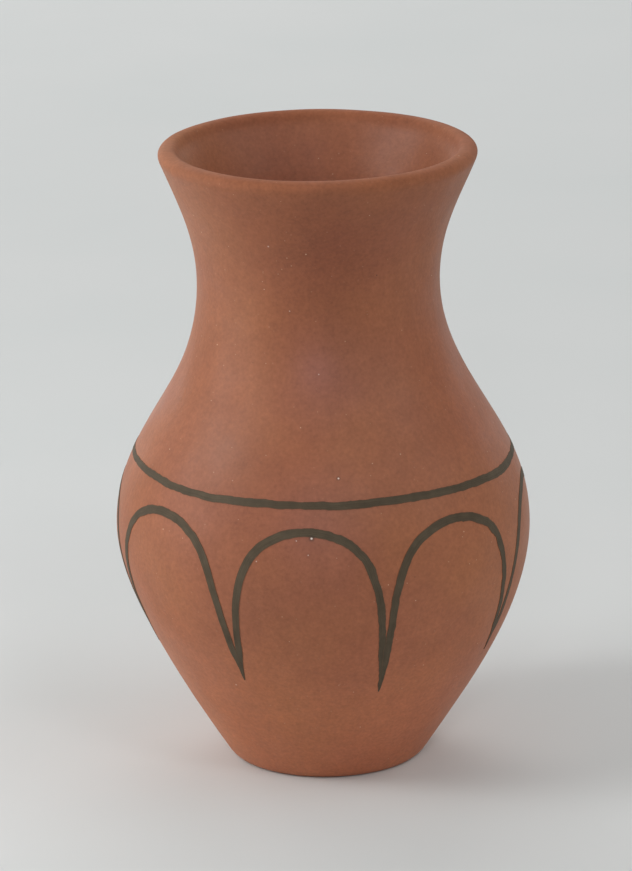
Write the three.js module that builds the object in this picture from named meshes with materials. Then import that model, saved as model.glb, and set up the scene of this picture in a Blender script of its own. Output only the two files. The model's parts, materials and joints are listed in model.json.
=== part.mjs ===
// Wheel-thrown earthenware vase: one fired clay body, a band of dark slip round the shoulder
// and eight slip arches below it, each arch one brush stroke from tip to tip.
// Millimetres, +Z up. The origin is the centre of the foot, and the vase faces -Y.
// Angles run from -Y towards +X.
import * as THREE from "three";

const { clamp, degToRad, lerp } = THREE.MathUtils;

// Outside of the clay body
const height = 230;
const footRadius = 33.6; // the flat that the vase stands on
const footEdgeReach = 2; // how far the rounded foot edge reaches out past the flat
const footEdgeHeight = 3;
const footLean = degToRad(33); // from upright, where the wall leaves the foot
const bellyRadius = 75.9;
const bellyHeight = 88.4;
const neckRadius = 44.2;
const neckDrop = 50.2; // from the lip down to the narrowest place
const lipRadius = 57.3;
const lipRoll = 4.5; // height of the rounded lip
const lipFlare = degToRad(23); // from upright

// How far a curve keeps the direction that it starts with, as a share of its own height
const footPull = 0.337;
const bellyPullDown = 0.27;
const bellyPullUp = 0.398;
const neckPullDown = 0.439;
const neckPullUp = 0.383;
const lipPull = 0.337;

// Clay thickness, measured straight across the wall
const footWall = 10;
const lipWall = 5.8;
const floorThickness = 11.5;
const floorFillet = 9; // rounded corner inside, between floor and wall

// Slip: the thin coloured clay that the lines are painted with
const strokeWidth = 3;
const slipThickness = 0.25; // along the middle of a stroke
const slipEdgeThickness = 0.1;
const slipClearance = 0.08; // between the clay body and the slip

// Band round the shoulder
const bandRise = 26.9; // above the widest place of the belly
const bandSway = 0.9; // the hand-drawn band is this much higher on its left and lower on its right

// Arches under the band
const crownDrop = 9; // from the band down to the crowns
const tipDrop = 61; // from the crowns down to the tips
const crownPull = 0.75; // share of half an arch's width over which its crown runs level
const legPull = 0.83; // share of half an arch's width at which its leg turns down
const legBend = 0.25; // share of a leg's height at which it turns down, from the crown
const tipTaper = 16; // height over which a stroke narrows to its tip
const tipWidth = 0.5;
const tipClearance = 0.12; // between two neighbours, where they meet in a tip
const tips = [
  { angle: degToRad(-28.4), reach: 1 }, // reach is this tip's share of tipDrop
  { angle: degToRad(17.6), reach: 1.065 },
  { angle: degToRad(63.4), reach: 0.98 },
  { angle: degToRad(108), reach: 1.03 },
  { angle: degToRad(152.5), reach: 0.99 },
  { angle: degToRad(197), reach: 1.04 },
  { angle: degToRad(241), reach: 1.01 },
  { angle: degToRad(285), reach: 0.96 },
];

// Fineness of the facets
const turnSteps = 72;
const outsideSteps = { lower: 13, shoulder: 14, throat: 8 };
const insideSteps = { lower: 9, shoulder: 10, throat: 6 };
const cornerSteps = 4; // on each rounded corner of the profile
const strokeSteps = 36;

const firedClay = new THREE.MeshStandardMaterial({ color: 0xb0704f, roughness: 0.62, metalness: 0 });
const darkSlip = new THREE.MeshStandardMaterial({ color: 0x4d4636, roughness: 0.75, metalness: 0 });

// Heights that the other pieces share
const neckHeight = height - neckDrop;
const lipEdgeHeight = height - lipRoll;
const bandHeight = bellyHeight + bandRise;
const crownHeight = bandHeight - crownDrop;

// A stretch of the profile from a lower point to a higher one, as [radius, height].
// It leaves and reaches them at the leans given, each held for its own share of the height.
function profileCurve(low, lowLean, lowPull, high, highLean, highPull) {
  const rise = high[1] - low[1];
  const lowReach = lowPull * rise;
  const highReach = highPull * rise;
  return new THREE.CubicBezierCurve(
    new THREE.Vector2(...low),
    new THREE.Vector2(low[0] + lowReach * Math.tan(lowLean), low[1] + lowReach),
    new THREE.Vector2(high[0] - highReach * Math.tan(highLean), high[1] - highReach),
    new THREE.Vector2(...high),
  );
}

// The outside from the foot edge to the lip, which the slip is painted on
const upright = 0;
const footEdgeRadius = footRadius + footEdgeReach;
const wallFoot = [footEdgeRadius + footEdgeHeight * Math.tan(footLean), footEdgeHeight];
const belly = [bellyRadius, bellyHeight];
const neck = [neckRadius, neckHeight];
const lipEdge = [lipRadius, lipEdgeHeight];
const outside = {
  lower: profileCurve(wallFoot, footLean, footPull, belly, upright, bellyPullDown),
  shoulder: profileCurve(belly, upright, bellyPullUp, neck, upright, neckPullDown),
  throat: profileCurve(neck, upright, neckPullUp, lipEdge, lipFlare, lipPull),
};

// The outside of the wall upwards, without the lip's edge
function outsideWall() {
  return Object.entries(outside).flatMap(([part, curve]) =>
    curve.getPoints(outsideSteps[part]).slice(0, -1),
  );
}

// The point inside the vase that is straight across the wall from a point of an outside curve
function acrossWall(curve, share) {
  const point = curve.getPoint(share);
  const along = curve.getTangent(share);
  const thickness = lerp(footWall, lipWall, point.y / height);
  return new THREE.Vector2(point.x - along.y * thickness, point.y + along.x * thickness);
}

// The inside of the wall downwards, from the lip to the rounded corner over the floor
function insideWall() {
  const partsDown = Object.keys(outside).reverse();
  const points = partsDown.flatMap((part) => {
    const steps = insideSteps[part];
    return Array.from({ length: steps }, (_, i) => acrossWall(outside[part], 1 - i / steps));
  });
  return points.filter((point) => point.y > floorThickness + floorFillet);
}

// A rounded corner of the profile, without its last point
function roundedCorner(from, corner, to) {
  return new THREE.QuadraticBezierCurve(from, corner, to).getPoints(cornerSteps).slice(0, -1);
}

// The clay body is spun from one closed profile: underside, outside, lip, inside and floor
function clayBody() {
  const inside = insideWall();
  const [lipInside] = inside;
  const [aboveCorner, cornerTop] = inside.slice(-2);
  const crest = new THREE.Vector2((lipRadius + lipInside.x) / 2, height);
  const lipReach = (lipRoll / 2) * Math.tan(lipFlare);
  const wallSlope = (aboveCorner.x - cornerTop.x) / (aboveCorner.y - cornerTop.y);
  const floorRadius = cornerTop.x - (cornerTop.y - floorThickness) * wallSlope;
  const floorEdge = new THREE.Vector2(floorRadius - floorFillet, floorThickness);
  const profile = [
    new THREE.Vector2(0, 0),
    ...roundedCorner(
      new THREE.Vector2(footRadius, 0),
      new THREE.Vector2(footEdgeRadius, 0),
      new THREE.Vector2(...wallFoot),
    ),
    ...outsideWall(),
    ...roundedCorner(
      new THREE.Vector2(...lipEdge),
      new THREE.Vector2(lipRadius + lipReach, height),
      crest,
    ),
    ...roundedCorner(crest, new THREE.Vector2(lipInside.x, height), lipInside),
    ...inside.slice(0, -1),
    ...roundedCorner(cornerTop, new THREE.Vector2(floorRadius, floorThickness), floorEdge),
    floorEdge,
    new THREE.Vector2(0, floorThickness),
  ];
  const geometry = new THREE.LatheGeometry(profile, turnSteps);
  geometry.rotateX(Math.PI / 2);
  const mesh = new THREE.Mesh(geometry, firedClay);
  mesh.name = "clay_body";
  return mesh;
}

// Radius and slope of the outside at a height, read from closely spaced points of its curves
const closeSteps = 200;
const closePoints = Object.values(outside).flatMap((curve) =>
  curve.getPoints(closeSteps).slice(0, -1),
);
function outsideAt(z) {
  const above = closePoints.findIndex((point) => point.y > z);
  const [low, high] = [closePoints[above - 1], closePoints[above]];
  const slope = (high.x - low.x) / (high.y - low.y);
  return { radius: low.x + (z - low.y) * slope, slope };
}

// A place on the outside, lifted straight off it
function onWall(angle, z, lift) {
  const { radius, slope } = outsideAt(z);
  const steepness = Math.hypot(1, slope);
  const lifted = radius + lift / steepness;
  return [lifted * Math.sin(angle), -lifted * Math.cos(angle), z - (lift * slope) / steepness];
}

// Section of a stroke: [share of half its width, lift off the wall]
const slipTop = slipClearance + slipThickness;
const slipEdgeTop = slipClearance + slipEdgeThickness;
const strokeSection = [
  [-1, slipClearance],
  [-1, slipEdgeTop],
  [0, slipTop],
  [1, slipEdgeTop],
  [1, slipClearance],
];

// The section where a stroke passes one place. The places before and after it give the stroke's
// direction, and the section keeps between two angles.
function sectionAt({ here, before, after }, width, fromAngle, toAngle) {
  const { radius, slope } = outsideAt(here.z);
  const steepness = Math.hypot(1, slope);
  const around = (after.angle - before.angle) * radius;
  const up = (after.z - before.z) * steepness;
  const length = Math.hypot(around, up);
  return strokeSection.map(([side, lift]) => {
    const reach = (side * width) / 2;
    const angle = here.angle - (up / length) * (reach / radius);
    const z = here.z + (around / length) * (reach / steepness);
    return onWall(clamp(angle, fromAngle, toAngle), z, lift);
  });
}

// A closed strip of slip from its sections. A ring's last section joins its first, and any other
// stroke has both ends capped.
function slipStrip(name, sections, isRing) {
  const sides = strokeSection.length;
  const faces = [];
  const spans = isRing ? sections.length : sections.length - 1;
  for (let i = 0; i < spans; i++) {
    const start = i * sides;
    const next = ((i + 1) % sections.length) * sides;
    for (let side = 0; side < sides; side++) {
      const other = (side + 1) % sides;
      faces.push(start + side, next + side, start + other);
      faces.push(start + other, next + side, next + other);
    }
  }
  if (!isRing) {
    const end = (sections.length - 1) * sides;
    for (let side = 1; side < sides - 1; side++) {
      faces.push(0, side, side + 1);
      faces.push(end, end + side + 1, end + side);
    }
  }
  const geometry = new THREE.BufferGeometry();
  geometry.setAttribute("position", new THREE.Float32BufferAttribute(sections.flat(2), 3));
  geometry.setIndex(faces);
  geometry.computeVertexNormals();
  const mesh = new THREE.Mesh(geometry, darkSlip);
  mesh.name = name;
  return mesh;
}

// The band is drawn with the vase turning once under the brush
function shoulderBand() {
  const place = (step) => {
    const angle = (step / turnSteps) * 2 * Math.PI;
    return { angle, z: bandHeight - bandSway * Math.sin(angle) };
  };
  const sections = Array.from({ length: turnSteps }, (_, step) => {
    const places = { here: place(step), before: place(step - 1), after: place(step + 1) };
    return sectionAt(places, strokeWidth, -Infinity, Infinity);
  });
  return slipStrip("shoulder_band", sections, true);
}

// Half an arch's line, from the middle of its crown to one tip, as (angle, height)
function archLeg(middle, tip) {
  const half = tip.angle - middle;
  const drop = tip.reach * tipDrop;
  return new THREE.CubicBezierCurve(
    new THREE.Vector2(middle, crownHeight),
    new THREE.Vector2(middle + crownPull * half, crownHeight),
    new THREE.Vector2(middle + legPull * half, crownHeight - legBend * drop),
    new THREE.Vector2(tip.angle, crownHeight - drop),
  );
}

// One arch: up from its left tip, over the crown and down to its right tip
function slipArch(number, leftTip, rightTip) {
  const middle = (leftTip.angle + rightTip.angle) / 2;
  const leftLeg = archLeg(middle, leftTip);
  const rightLeg = archLeg(middle, rightTip);
  const place = (share) => {
    const onLeft = share < 0.5;
    const point = onLeft ? leftLeg.getPoint(1 - 2 * share) : rightLeg.getPoint(2 * share - 1);
    const tipHeight = crownHeight - (onLeft ? leftTip : rightTip).reach * tipDrop;
    return { angle: point.x, z: point.y, aboveTip: point.y - tipHeight };
  };
  const nudge = 0.1 / strokeSteps;
  const sections = Array.from({ length: strokeSteps + 1 }, (_, step) => {
    const share = step / strokeSteps;
    const here = place(share);
    const before = place(Math.max(share - nudge, 0));
    const after = place(Math.min(share + nudge, 1));
    const width = lerp(tipWidth, strokeWidth, clamp(here.aboveTip / tipTaper, 0, 1));
    const parting = tipClearance / 2 / outsideAt(here.z).radius;
    const places = { here, before, after };
    return sectionAt(places, width, leftTip.angle + parting, rightTip.angle - parting);
  });
  return slipStrip(`slip_arch_${number}`, sections, false);
}

const vase = new THREE.Group();
vase.add(clayBody(), shoulderBand());
tips.forEach((tip, i) => {
  const next = tips[(i + 1) % tips.length];
  const fullTurn = next.angle < tip.angle ? 2 * Math.PI : 0;
  vase.add(slipArch(i + 1, tip, { angle: next.angle + fullTurn, reach: next.reach }));
});

export default vase;
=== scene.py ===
import json
import math
import bpy
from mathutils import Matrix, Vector

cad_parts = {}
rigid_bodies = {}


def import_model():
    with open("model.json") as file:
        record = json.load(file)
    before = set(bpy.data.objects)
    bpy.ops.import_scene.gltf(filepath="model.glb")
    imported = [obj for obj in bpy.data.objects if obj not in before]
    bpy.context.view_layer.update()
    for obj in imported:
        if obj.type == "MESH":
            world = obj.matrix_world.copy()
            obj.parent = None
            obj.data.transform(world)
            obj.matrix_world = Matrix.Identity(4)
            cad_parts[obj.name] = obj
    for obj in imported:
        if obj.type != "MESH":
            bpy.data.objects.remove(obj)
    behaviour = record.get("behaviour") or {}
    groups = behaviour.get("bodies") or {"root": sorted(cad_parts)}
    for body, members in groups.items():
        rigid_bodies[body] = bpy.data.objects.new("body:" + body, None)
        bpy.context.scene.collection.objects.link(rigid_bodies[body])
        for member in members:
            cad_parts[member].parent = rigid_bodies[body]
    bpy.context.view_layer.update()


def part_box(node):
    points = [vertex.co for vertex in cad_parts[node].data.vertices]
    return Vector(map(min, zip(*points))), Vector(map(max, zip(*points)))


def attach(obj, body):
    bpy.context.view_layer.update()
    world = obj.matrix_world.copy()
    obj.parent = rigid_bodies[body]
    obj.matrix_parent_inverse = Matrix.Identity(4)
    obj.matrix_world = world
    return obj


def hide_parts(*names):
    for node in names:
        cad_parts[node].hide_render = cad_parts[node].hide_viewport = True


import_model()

# The camera stands 2 m in front of the vase, a little above its lip, and looks down at it through
# a long lens. It is turned by under a degree, as the vase leans a little in the picture.
picture_long_side = 871
focal_length = 5525 / picture_long_side  # in long sides of the picture
camera_distance = 2.023
camera_elevation = math.radians(16.91)
camera_roll = math.radians(-0.81)
aim = Vector((-0.00253, 0, 0.1204))

bpy.ops.object.camera_add()
camera = bpy.context.object
camera.data.lens = focal_length * camera.data.sensor_width
camera.location = aim + camera_distance * Vector(
    (0, -math.cos(camera_elevation), math.sin(camera_elevation))
)
camera.rotation_mode = "ZYX"
camera.rotation_euler = (math.pi / 2 - camera_elevation, 0, camera_roll)
bpy.context.scene.camera = camera
bpy.context.scene.view_settings.view_transform = "Standard"

# The clay body is one wall of coarse red earthenware, thrown on a wheel from a single lump. The
# lip and the foot's edge are rounded with a wet sponge, and the outside is burnished with a smooth
# stone before the one firing. It has no glaze.
body_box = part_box("clay_body")
belly_radius = body_box[1].x
height = body_box[1].z
foot_radius = 0.0336
belly_height = 0.0884
neck_radius = 0.0442
neck_height = 0.1798
lip_radius = 0.0573
lip_height = 0.2255
belly_wall = 0.0084
neck_wall = 0.0067
floor_thickness = 0.0115
profile_steps = 12  # in each stretch of the profile, once the long ones are cut in three
turn_steps = 256

# The profile from the middle of the underside, up the outside, over the lip and down the inside
# to the middle of the floor. Each knot has its radius and height, its heading in degrees (0 is
# outwards, 90 is up), and how far the curve keeps that heading before and after it.
profile = [
    (0, 0, 0, 0.010, 0.010),
    (foot_radius, 0, 0, 0.010, 0.0013),
    (0.0375, 0.003, 57, 0.0024, 0.0343),
    (belly_radius, belly_height, 90, 0.0250, 0.0364),
    (neck_radius, neck_height, 90, 0.0401, 0.0175),
    (lip_radius, lip_height, 67, 0.0167, 0.0028),
    (0.0538, height, 180, 0.0032, 0.0026),
    (0.0500, 0.2260, 243, 0.0022, 0.0163),
    (neck_radius - neck_wall, neck_height, 270, 0.0184, 0.0441),
    (belly_radius - belly_wall, belly_height, 270, 0.0349, 0.0172),
    (0.0412, 0.0268, 239, 0.0220, 0.0100),
    (0.0229, floor_thickness, 180, 0.0075, 0.0060),
    (0, floor_thickness, 180, 0.0060, 0.0060),
]

bpy.ops.object.select_all(action="DESELECT")
bpy.ops.curve.primitive_bezier_curve_add()
clay_wall = bpy.context.object
clay_wall.name = "clay_wall"
spline = clay_wall.data.splines[0]
spline.resolution_u = profile_steps
spline.bezier_points.add(len(profile) - len(spline.bezier_points))
for knot, (radius, rise, heading, before, after) in zip(spline.bezier_points, profile):
    turn = math.radians(heading)
    along = Vector((math.cos(turn), 0, math.sin(turn)))
    knot.handle_left_type = knot.handle_right_type = "FREE"
    knot.co = (radius, 0, rise)
    knot.handle_left = knot.co - before * along
    knot.handle_right = knot.co + after * along

# The long stretches of wall are cut in three, so that the mesh is about as fine all over
long_stretches = [(2, 5), (7, 10)]
bpy.ops.object.mode_set(mode="EDIT")
for first, last in reversed(long_stretches):
    bpy.ops.curve.select_all(action="DESELECT")
    for knot in clay_wall.data.splines[0].bezier_points[first : last + 1]:
        knot.select_control_point = True
    bpy.ops.curve.subdivide(number_cuts=2)
bpy.ops.object.mode_set(mode="OBJECT")

bpy.ops.object.convert(target="MESH")
bpy.ops.object.mode_set(mode="EDIT")
bpy.ops.mesh.select_all(action="SELECT")
bpy.ops.mesh.spin(steps=turn_steps, angle=2 * math.pi, center=(0, 0, 0), axis=(0, 0, 1))
bpy.ops.mesh.select_all(action="SELECT")
bpy.ops.mesh.remove_doubles(threshold=0.00002)
bpy.ops.mesh.normals_make_consistent(inside=False)
bpy.ops.object.mode_set(mode="OBJECT")


def edit_where(test):
    """Opens the active mesh for editing, with just the vertices that pass the test selected."""
    bpy.ops.object.mode_set(mode="EDIT")
    bpy.ops.mesh.select_all(action="DESELECT")
    bpy.ops.object.mode_set(mode="OBJECT")
    for vertex in bpy.context.object.data.vertices:
        vertex.select = test(vertex.co)
    bpy.ops.object.mode_set(mode="EDIT")


# The potter's hands left the vase a little off true: each height is pushed sideways by up to a
# millimetre, and its push fades out at the next height's.
leans = [0.0003, 0.0009, -0.00036, -0.00018, -0.0009, -0.00055]
lean_spacing = height / (len(leans) - 1)
held_band = 0.002  # that a push takes hold of, above and below its height
for i, push in enumerate(leans):
    edit_where(lambda place: abs(place.z - i * lean_spacing) < held_band)
    bpy.ops.transform.translate(
        value=(push, 0, 0),
        use_proportional_edit=True,
        proportional_edit_falloff="SMOOTH",
        proportional_size=lean_spacing,
    )
    bpy.ops.object.mode_set(mode="OBJECT")


def add_modifier(kind, **settings):
    """Adds a modifier to the active object with its settings, and applies it."""
    bpy.ops.object.modifier_add(type=kind)
    modifier = bpy.context.object.modifiers[-1]
    for name, value in settings.items():
        setattr(modifier, name, value)
    bpy.ops.object.modifier_apply(modifier=modifier.name)


def clouds(name, size):
    """A soft, even noise for uneven surfaces, with lumps of about the size given."""
    texture = bpy.data.textures.new(name, "CLOUDS")
    texture.noise_scale = size
    return texture


# Throwing and burnishing leave shallow hollows, some as wide as a palm and some as a fingertip
for name, size, depth in [("palm", 0.040, 0.0004), ("fingertip", 0.012, 0.00008)]:
    add_modifier("DISPLACE", texture=clouds(name, size), texture_coords="LOCAL", strength=depth)

# The foot is rubbed flat, so that the vase stands steady
rubbed_radius = foot_radius + 0.0002
rubbed_depth = 0.0006
edit_where(
    lambda place: place.z < 0 or (place.z < rubbed_depth and place.xy.length < rubbed_radius)
)
bpy.ops.transform.resize(value=(1, 1, 0), center_override=(0, 0, 0))
bpy.ops.object.mode_set(mode="OBJECT")
bpy.ops.object.shade_smooth()

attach(clay_wall, "root")
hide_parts("clay_body")


def linear(hex_colour):
    """An sRGB colour such as #B5754F as the linear colour that a shader takes."""
    parts = [int(hex_colour[i : i + 2], 16) / 255 for i in (1, 3, 5)]
    return [c / 12.92 if c <= 0.04045 else ((c + 0.055) / 1.055) ** 2.4 for c in parts] + [1]


def add_node(material, kind, sockets=None, **settings):
    """Adds a shader node with its settings. A socket is given a value, or another node's output."""
    tree = material.node_tree
    node = tree.nodes.new("ShaderNode" + kind)
    for name, value in settings.items():
        setattr(node, name, value)
    for socket, value in (sockets or {}).items():
        if isinstance(value, bpy.types.NodeSocket):
            tree.links.new(value, node.inputs[socket])
        else:
            node.inputs[socket].default_value = value
    return node


def add_blotches(material, place, size, low, high, detail=2):
    """Soft, uneven blotches of about the size given, whose strength runs from low to high."""
    noise = add_node(material, "TexNoise", {"Vector": place, "Scale": 1 / size, "Detail": detail})
    span = {"Value": noise.outputs["Fac"], "From Min": 0.3, "From Max": 0.7}
    return add_node(material, "MapRange", {**span, "To Min": low, "To Max": high}).outputs[0]


# Coarse grains in the clay, mostly faint, with a few bright or dark ones. Each kind has its
# colour, the spacing of its grains in metres, the radius of its largest grain as a share of that
# spacing, and the share of places that are left without one.
grit = [
    ("#D8B597", 0.0025, 0.12, 0.1),
    ("#B98A6B", 0.0017, 0.17, 0.2),
    ("#4A3328", 0.0040, 0.09, 0.6),
]
grit_edge = 0.03  # of the spacing, over which a grain's edge fades
grit_faintness = 4  # the higher it is, the fewer grains stand out


def add_grit(material, place, colour):
    """The clay's colour with its grit."""
    for grain, spacing, largest, bare in grit:
        cells = add_node(material, "TexVoronoi", {"Vector": place, "Scale": 1 / spacing})
        chance = add_node(material, "SeparateColor", {0: cells.outputs["Color"]})
        radius = {"Value": chance.outputs[0], "From Min": bare, "From Max": 1, "To Max": largest}
        radius = add_node(material, "MapRange", radius).outputs[0]
        inside = {0: radius, 1: cells.outputs["Distance"]}
        inside = add_node(material, "Math", inside, operation="SUBTRACT").outputs[0]
        inside = {"Value": inside, "From Max": grit_edge}
        inside = add_node(material, "MapRange", inside).outputs[0]
        strength = {0: chance.outputs[1], 1: grit_faintness}
        strength = add_node(material, "Math", strength, operation="POWER").outputs[0]
        share = {0: inside, 1: strength}
        share = add_node(material, "Math", share, operation="MULTIPLY").outputs[0]
        speckled = {0: share, 6: colour, 7: linear(grain)}
        colour = add_node(material, "Mix", speckled, data_type="RGBA").outputs[2]
    return colour


# The largest grains of lime on the front: degrees round, height, radius and whiteness of each
lime_grains = [
    (-3.6, 0.1046, 0.0005, 1),
    (4.6, 0.1241, 0.0004, 0.8),
    (-22.2, 0.2043, 0.0004, 0.4),
    (-7.8, 0.1037, 0.0003, 0.5),
    (-32.5, 0.0423, 0.0004, 0.35),
    (-18.8, 0.0957, 0.0003, 0.45),
    (-4.5, 0.0988, 0.0003, 0.45),
    (-14.7, 0.1798, 0.0003, 0.4),
    (-1.5, 0.1576, 0.0003, 0.4),
]


def outside(angle, rise):
    """The place on the clay's outside at an angle round from the front and at a height."""
    outward = Vector((math.sin(math.radians(angle)), -math.cos(math.radians(angle)), 0))
    start = 2 * belly_radius * outward + Vector((0, 0, rise))
    return clay_wall.ray_cast(start, -outward)[1]


def add_lime(material, place, colour):
    """White grains of lime. The clay shrank back round the larger ones and left a pit, whose shade
    is painted round them as a dark ring.
    """
    for angle, rise, radius, whiteness in lime_grains:
        away = {0: place, 1: outside(angle, rise)}
        away = add_node(material, "VectorMath", away, operation="DISTANCE").outputs["Value"]
        rings = [
            # painted shade in the pit round a grain, then the grain's own white
            ("#3A2E28", radius, 3 * radius, 0.6 * whiteness ** 3),
            ("#F4E6DA", 0.5 * radius, radius, whiteness),
        ]
        for ring_colour, inner, outer, strength in rings:
            share = {"Value": away, "From Min": inner, "From Max": outer,
                     "To Min": strength, "To Max": 0}
            share = add_node(material, "MapRange", share).outputs[0]
            ringed = {0: share, 6: colour, 7: linear(ring_colour)}
            colour = add_node(material, "Mix", ringed, data_type="RGBA").outputs[2]
    return colour


# Burnished earthenware: a warm red-brown that drifts between orange and rose over a few fingers'
# breadth, with fine mottling, upright streaks where the stone passed, and sparse grit. It shines
# a little. It is painted darker towards the top, and paler near the foot with painted light from
# the floor.
earthenware = bpy.data.materials.new("burnished_earthenware")
earthenware.use_nodes = True
place = add_node(earthenware, "TexCoord").outputs["Object"]
upright = add_node(earthenware, "Mapping", {"Vector": place, "Scale": (1, 1, 0.05)}).outputs[0]
level = add_node(earthenware, "Mapping", {"Vector": place, "Scale": (0.04, 0.04, 1)}).outputs[0]

drift = add_blotches(earthenware, place, 0.060, 0, 1)
orange_to_rose = {0: drift, 6: linear("#A66642"), 7: linear("#9D5D41")}
colour = add_node(earthenware, "Mix", orange_to_rose, data_type="RGBA").outputs[2]
tall = add_node(earthenware, "SeparateXYZ", {0: place}).outputs["Z"]
# The clay is painted steadily darker from the foot up to the lip
darker_upwards = {"Value": tall, "From Max": height, "To Min": 1.04, "To Max": 0.865}
darker_upwards = add_node(earthenware, "MapRange", darker_upwards).outputs[0]
# Painted light: the clay is painted up to a fifth paler towards the foot, for the light that the
# pale floor throws up onto the lower body
painted_floor_light = {"Value": tall, "From Min": 0.02, "From Max": 0.095, "To Min": 1.2, "To Max": 1}
painted_floor_light = add_node(earthenware, "MapRange", painted_floor_light, interpolation_type="SMOOTHSTEP").outputs[0]
shading = {"data_type": "RGBA", "blend_type": "MULTIPLY"}  # a colour made lighter or darker
for brightness in [darker_upwards, painted_floor_light]:
    shaded = {0: 1, 6: colour, 7: brightness}
    colour = add_node(earthenware, "Mix", shaded, **shading).outputs[2]

# Broad, soft patches that make the clay a little darker, paler, bluer or more orange than the rest.
# Five
# on the front are painted light: painted shade in the middle of the neck, where little light comes
# from the front; three painted reflections of the front light down the front's middle, two broad
# and bluish and one small and mauve; and painted light from the floor low on the right. Each has
# its degrees round, height, radius, and what it does to the red, green and blue.
patches_and_painted_light = [
    # painted shade in the middle of the neck
    (0, 0.197, 0.042, (0.88, 0.81, 0.83)),
    (-77, 0.205, 0.060, (1.15, 1.28, 1.32)),
    # painted reflections of the front light, this one and the next
    (0, 0.157, 0.030, (0.89, 0.90, 1.22)),
    (-3, 0.159, 0.012, (1.04, 1.08, 1.22)),
    # painted light from the floor
    (42, 0.021, 0.060, (1.12, 1.11, 1.09)),
    (70, 0.141, 0.042, (1.01, 0.90, 0.70)),
    (-21, 0.077, 0.042, (0.87, 0.86, 0.94)),
    # painted reflection of the front light
    (0, 0.109, 0.030, (0.96, 1.01, 1.26)),
    (-28, 0.125, 0.030, (0.92, 0.91, 0.86)),
    (120, 0.090, 0.050, (0.90, 0.88, 0.95)),
    (165, 0.165, 0.050, (1.08, 1.12, 1.15)),
    (-150, 0.045, 0.060, (1.10, 1.08, 1.05)),
    (-130, 0.130, 0.040, (0.92, 0.90, 1.08)),
]
for angle, rise, radius, tint in patches_and_painted_light:
    away = {0: place, 1: outside(angle, rise)}
    away = add_node(earthenware, "VectorMath", away, operation="DISTANCE").outputs["Value"]
    share = {"Value": away, "From Max": radius, "To Min": 1, "To Max": 0}
    share = add_node(earthenware, "MapRange", share, interpolation_type="SMOOTHSTEP").outputs[0]
    patched = {0: share, 6: colour, 7: (*tint, 1)}
    colour = add_node(earthenware, "Mix", patched, **shading).outputs[2]

# Each pattern of mottling has the size of its blotches, how much they lighten or darken the clay,
# and how finely they break up
mottling = [
    (place, 0.009, 0.05, 6),
    (upright, 0.004, 0.03, 3),
    (place, 0.0025, 0.045, 2),
    (place, 0.0012, 0.1, 3),
]
for pattern, size, depth, detail in mottling:
    brightness = add_blotches(earthenware, pattern, size, 1 - depth, 1 + depth, detail)
    mottled = {0: 1, 6: colour, 7: brightness}
    colour = add_node(earthenware, "Mix", mottled, **shading).outputs[2]
colour = add_lime(earthenware, place, add_grit(earthenware, place, colour))

# Grain of the clay, the stone's upright strokes, and rings from the wheel. Each has its size, its
# depth, and how finely it breaks up.
reliefs = [
    (place, 0.0009, 0.00003, 3),
    (upright, 0.003, 0.00003, 2),
    (level, 0.003, 0.00004, 2),
]
surface = None
for pattern, size, depth, detail in reliefs:
    relief = add_blotches(earthenware, pattern, size, 0, 1, detail)
    sockets = {"Height": relief, "Distance": depth, "Strength": 1}
    if surface:
        sockets["Normal"] = surface
    surface = add_node(earthenware, "Bump", sockets).outputs[0]

# The stone doesn't reach the lip, which stays as matte as the sponge left it
sponged = {"Value": tall, "From Min": 0.224, "From Max": 0.229, "To Max": 0.28}
sponged = add_node(earthenware, "MapRange", sponged, interpolation_type="SMOOTHSTEP").outputs[0]
burnished = add_blotches(earthenware, place, 0.02, 0.46, 0.58)
roughness = add_node(earthenware, "Math", {0: burnished, 1: sponged}, operation="ADD").outputs[0]

shader = earthenware.node_tree.nodes["Principled BSDF"]
links = earthenware.node_tree.links
links.new(colour, shader.inputs["Base Color"])
links.new(roughness, shader.inputs["Roughness"])
links.new(surface, shader.inputs["Normal"])
shader.inputs["Specular IOR Level"].default_value = 0.4
clay_wall.data.materials.append(earthenware)

# The dark lines are slip, a thin coloured clay, laid on with a soft brush while the vase turns.
# Each line is one stroke, a few hundredths of a millimetre proud of the clay, thicker along its
# middle and drawn out to nothing where the brush leaves.
stroke_width = 0.0030
slip_lift = 0.00003  # of a stroke's edge over the clay
slip_rises = [0.00005, 0.00003, 0.00002]  # from its edge to its middle, row by row
slip_depth = 0.0003  # from its top down into the clay
slip_rows = 8  # of faces across a stroke
drawing_radius = 0.077  # of the roll round the vase that the strokes are drawn on first
brush_wobble = clouds("brush_wobble", 0.006)
ragged_edge = clouds("ragged_edge", 0.002)


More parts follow.
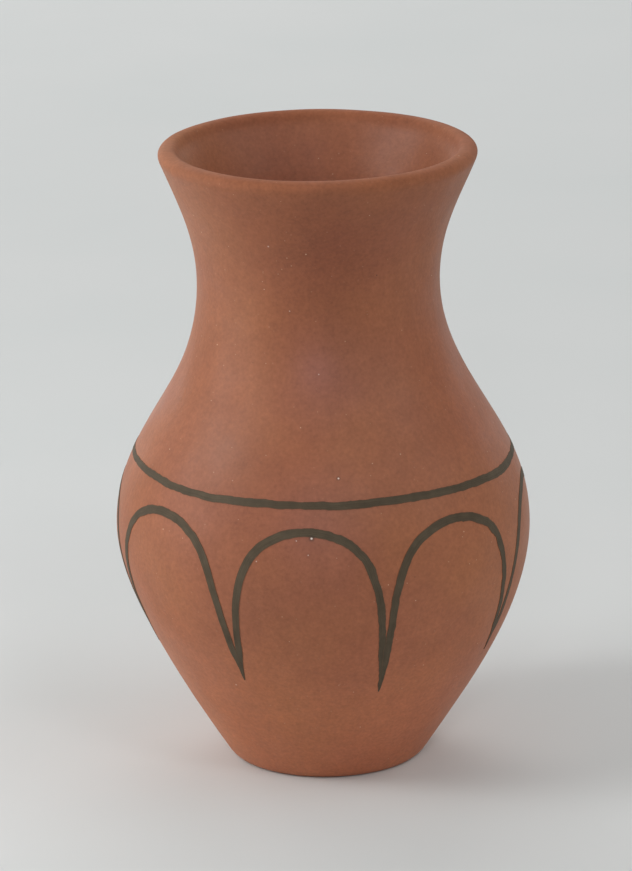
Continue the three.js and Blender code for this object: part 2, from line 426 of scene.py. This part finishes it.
def paint_stroke(name, knots, lift, length_steps):
    """One stroke on the clay. A knot is (degrees from the front, height, share of full width)."""
    bpy.ops.object.select_all(action="DESELECT")
    bpy.ops.curve.primitive_bezier_curve_add()
    path = bpy.context.object
    path.data.dimensions = "2D"
    path.data.resolution_u = 32
    path.data.use_radius = path.data.use_stretch = path.data.use_deform_bounds = True
    spline = path.data.splines[0]
    spline.bezier_points.add(len(knots) - len(spline.bezier_points))
    for point, (angle, rise, width) in zip(spline.bezier_points, knots):
        point.co = (drawing_radius * math.radians(angle), rise, 0)
        point.radius = width
    bpy.ops.object.mode_set(mode="EDIT")
    bpy.ops.curve.select_all(action="SELECT")
    bpy.ops.curve.handle_type_set(type="AUTOMATIC")
    bpy.ops.object.mode_set(mode="OBJECT")

    # A flat strip takes the path's course
    bpy.ops.mesh.primitive_grid_add(
        x_subdivisions=length_steps, y_subdivisions=slip_rows, size=1
    )
    stroke = bpy.context.object
    stroke.name = name + "_stroke"
    stroke.scale = (1, stroke_width, 1)
    bpy.ops.object.transform_apply()
    add_modifier("CURVE", object=path)

    # It is stood up and rolled round the vase, with a slight wobble of the hand
    stroke.rotation_euler.x = math.pi / 2
    bpy.ops.object.transform_apply()
    add_modifier("SIMPLE_DEFORM", deform_method="BEND", deform_axis="Z",
                 angle=stroke.dimensions.x / drawing_radius)
    stroke.location.y = -drawing_radius
    bpy.ops.object.transform_apply()
    for texture, push in [(brush_wobble, 0.0007), (ragged_edge, 0.0004)]:
        add_modifier("DISPLACE", texture=texture, texture_coords="LOCAL",
                     direction="RGB_TO_XYZ", strength=push)
    add_modifier("CAST", cast_type="CYLINDER", factor=1, use_radius_as_size=False,
                 size=drawing_radius)

    # It is pressed onto the clay
    add_modifier("SHRINKWRAP", target=clay_wall, wrap_method="PROJECT",
                 use_negative_direction=True, use_positive_direction=False,
                 wrap_mode="ABOVE_SURFACE", offset=lift)

    bpy.ops.object.mode_set(mode="EDIT")
    bpy.ops.mesh.select_all(action="SELECT")
    bpy.ops.mesh.remove_doubles(threshold=0.000005)
    bpy.ops.mesh.normals_make_consistent(inside=False)
    for rise in slip_rises:
        bpy.ops.mesh.select_less()
        bpy.ops.transform.shrink_fatten(value=rise)
    bpy.ops.object.mode_set(mode="OBJECT")
    add_modifier("SOLIDIFY", thickness=slip_depth, offset=-1)
    bpy.ops.object.shade_smooth_by_angle(angle=math.radians(40))

    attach(stroke, "root")
    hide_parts(name)
    bpy.data.objects.remove(path)
    return stroke


# Matte slip: a dark olive clay that dries without shine. It is streaked along the stroke by the
# brush's hairs, and browner at the very edges, where it is thin and the red clay shows through.
slip = bpy.data.materials.new("matte_slip")
slip.use_nodes = True
place = add_node(slip, "TexCoord").outputs["Object"]
along = add_node(slip, "TexCoord").outputs["UV"]
streak_counts = (14, 9, 1)  # from end to end of a stroke and from side to side
hairs = add_node(slip, "Mapping", {"Vector": along, "Scale": streak_counts}).outputs[0]
thicker = add_blotches(slip, place, 0.012, 0, 1)
olive = {0: thicker, 6: linear("#574C3C"), 7: linear("#504434")}
colour = add_node(slip, "Mix", olive, data_type="RGBA").outputs[2]
streaks = add_blotches(slip, hairs, 1, 0.85, 1.15, 3)
mottles = add_blotches(slip, place, 0.0035, 0.88, 1.12, 4)
for brightness in [streaks, mottles]:
    shaded = {0: 1, 6: colour, 7: brightness}
    colour = add_node(slip, "Mix", shaded, **shading).outputs[2]
across = add_node(slip, "SeparateXYZ", {0: along}).outputs["Y"]
off_middle = add_node(slip, "Math", {0: across, 1: 0.5}, operation="SUBTRACT").outputs[0]
off_middle = add_node(slip, "Math", {0: off_middle}, operation="ABSOLUTE").outputs[0]
thin = {"Value": off_middle, "From Min": 0.38, "From Max": 0.5, "To Max": 0.6}
thin = add_node(slip, "MapRange", thin).outputs[0]
seen_through = {0: thin, 6: colour, 7: linear("#6B4C37")}
colour = add_node(slip, "Mix", seen_through, data_type="RGBA").outputs[2]
colour = add_lime(slip, place, colour)
grain = add_blotches(slip, place, 0.0006, 0, 1, 3)
grain = {"Height": grain, "Distance": 0.00004, "Strength": 1}
surface = add_node(slip, "Bump", grain).outputs[0]

shader = slip.node_tree.nodes["Principled BSDF"]
links = slip.node_tree.links
links.new(colour, shader.inputs["Base Color"])
links.new(surface, shader.inputs["Normal"])
shader.inputs["Roughness"].default_value = 0.75
shader.inputs["Specular IOR Level"].default_value = 0.3

# The band is one stroke of slip that goes once round the shoulder while the vase turns. It stands
# a little higher on the left than on the right, and its two ends meet at the back. Each knot has
# its degrees round, its height, and its share of the stroke's full width.
band_knots = [
    (-180, 0.1155, 0.95), (-145, 0.1158, 0.85), (-110, 0.1162, 0.95), (-80, 0.1168, 0.72),
    (-65, 0.1164, 0.82), (-50, 0.1156, 0.86), (-35, 0.1152, 0.88), (-20, 0.1155, 0.95),
    (-5, 0.1155, 0.82), (5, 0.1153, 0.88), (15, 0.1156, 0.93), (25, 0.1157, 0.91),
    (40, 0.1154, 0.93), (55, 0.1151, 0.96), (67, 0.1147, 0.95), (80, 0.1155, 0.80),
    (110, 0.1150, 0.85), (145, 0.1151, 0.95), (180, 0.1155, 0.95),
]
band_steps = 512  # of faces along it
band = paint_stroke("shoulder_band", band_knots, slip_lift, band_steps)
band.data.materials.append(slip)

# Eight arches hang below the band, each one stroke of the same slip. The brush starts at the tip
# on the left, goes up and over the crown, and ends at the tip on the right, on the next arch's
# start. No two lean quite alike. Each crown has its degrees round and its height.
crowns = [
    (-6.0, 0.1065), (39.6, 0.1059), (86, 0.1063), (130, 0.1060),
    (175, 0.1065), (219.5, 0.1061), (263, 0.1058), (308, 0.1065),
]
# Each tip has its degrees round, its height, and by how many degrees the leg that comes down to
# it from the left and the leg from the right lean over
tips = [
    (-28.1, 0.0454, 0.4, -0.2), (17.8, 0.0414, -0.5, -1.9),
    (63.4, 0.0469, 0.5, 0), (108, 0.0439, -0.4, 0.5),
    (152.5, 0.0459, 0.2, -0.6), (197, 0.0434, 0, 0.4),
    (241, 0.0449, -0.5, -0.3), (285, 0.0479, 0.3, 0),
]
# A leg's knots: how far below the crown, how many degrees off the tip, and share of full width
leg = [
    (0.0036, 12.6, 1.08), (0.0077, 8.8, 1.1), (0.0138, 6.0, 1.05),
    (0.0229, 3.8, 1), (0.0380, 1.9, 0.95), (0.0486, 1.0, 1),
]
# The tail's knots, where the brush lifts off: the same, but how far above the tip
tail = [(0.0070, 0.3, 0.7), (0.0030, 0.1, 0.45), (0, 0, 0.15)]
lean_fade = 4  # degrees off the tip, within which a leg's lean fades out
arch_overlap = 0.00003  # that every other arch lies higher, where two strokes cross
arch_steps = 300  # of faces along each


def half_arch(crown, tip_angle, tip_height, lean, side):
    """Knots of one leg and its tail, from the crown down to the tip, on one side of the tip."""
    knots = [
        (out + lean * min(1, out / lean_fade), crown - drop, width) for drop, out, width in leg
    ]
    knots += [(out, tip_height + rise, width) for rise, out, width in tail]
    return [(tip_angle + side * out, knot_height, width) for out, knot_height, width in knots]


for i, (middle, crown) in enumerate(crowns):
    left_angle, left_height, _, left_lean = tips[i]
    right_angle, right_height, right_lean, _ = tips[(i + 1) % len(tips)]
    if right_angle < left_angle:
        right_angle += 360
    knots = half_arch(crown, left_angle, left_height, left_lean, 1)[::-1]
    knots += [(middle, crown, 1)]
    knots += half_arch(crown, right_angle, right_height, right_lean, -1)
    lift = slip_lift + arch_overlap * (i % 2)
    stroke = paint_stroke(f"slip_arch_{i + 1}", knots, lift, arch_steps)
    stroke.data.materials.append(slip)

# The vase stands on a wide sheet of pale matte paper, lit by a large window on its left, with
# weaker light from a wall on its right, from the front, and from all round.
paper_width = 14
floor_gap = 0.00005  # under the foot, so that the two faces don't lie in one plane
bpy.ops.mesh.primitive_plane_add(size=paper_width, location=(0, 0, -floor_gap))
floor = bpy.context.object
floor.name = "floor"
paper = bpy.data.materials.new("pale_paper")
paper.use_nodes = True
place = add_node(paper, "TexCoord").outputs["Object"]
clouded = {0: add_blotches(paper, place, 0.15, 0, 1), 6: linear("#D9DBDA"), 7: linear("#D6D9D8")}
colour = add_node(paper, "Mix", clouded, data_type="RGBA").outputs[2]
shader = paper.node_tree.nodes["Principled BSDF"]
paper.node_tree.links.new(colour, shader.inputs["Base Color"])
shader.inputs["Roughness"].default_value = 0.9
floor.data.materials.append(paper)

# Each light: degrees round from the front, degrees up, metres away, width, length and watts
lights = [
    ("window", -82, 28, 2.0, 0.35, 0.8, 6.4),
    ("window_top", -75, 40, 1.0, 0.5, 0.5, 2.8),
    ("sill", -80, 5, 0.9, 0.25, 0.25, 1.4),
    ("wall", 80, 40, 2.5, 1.5, 1.5, 8.2),
    ("wall_front", 60, 20, 2.5, 1.0, 0.8, 3.6),
    ("behind_left", -150, 15, 2.5, 1.2, 1.2, 11.6),
    ("behind", 180, 40, 2.5, 1.5, 1.5, 11.9),
    ("behind_right", 140, 12, 2.5, 1.2, 1.0, 5),
    ("front", -4, 24, 2.5, 0.3, 0.4, 4.5),
    ("front_top", 25, 45, 2.0, 0.4, 0.4, 3.4),
]
for name, around, up, distance, width, length, watts in lights:
    around, up = math.radians(around), math.radians(up)
    toward = Vector(
        (math.sin(around) * math.cos(up), -math.cos(around) * math.cos(up), math.sin(up))
    )
    bpy.ops.object.light_add(type="AREA")
    light = bpy.context.object
    light.name = name
    light.location = aim + distance * toward
    light.rotation_euler = toward.to_track_quat("Z", "Y").to_euler()
    light.data.shape = "RECTANGLE"
    light.data.size, light.data.size_y = width, length
    light.data.energy = watts
    light.visible_camera = False

world = bpy.data.worlds.new("studio")
bpy.context.scene.world = world
world.use_nodes = True
world.node_tree.nodes["Background"].inputs["Color"].default_value = (1, 1, 1, 1)
world.node_tree.nodes["Background"].inputs["Strength"].default_value = 0.302
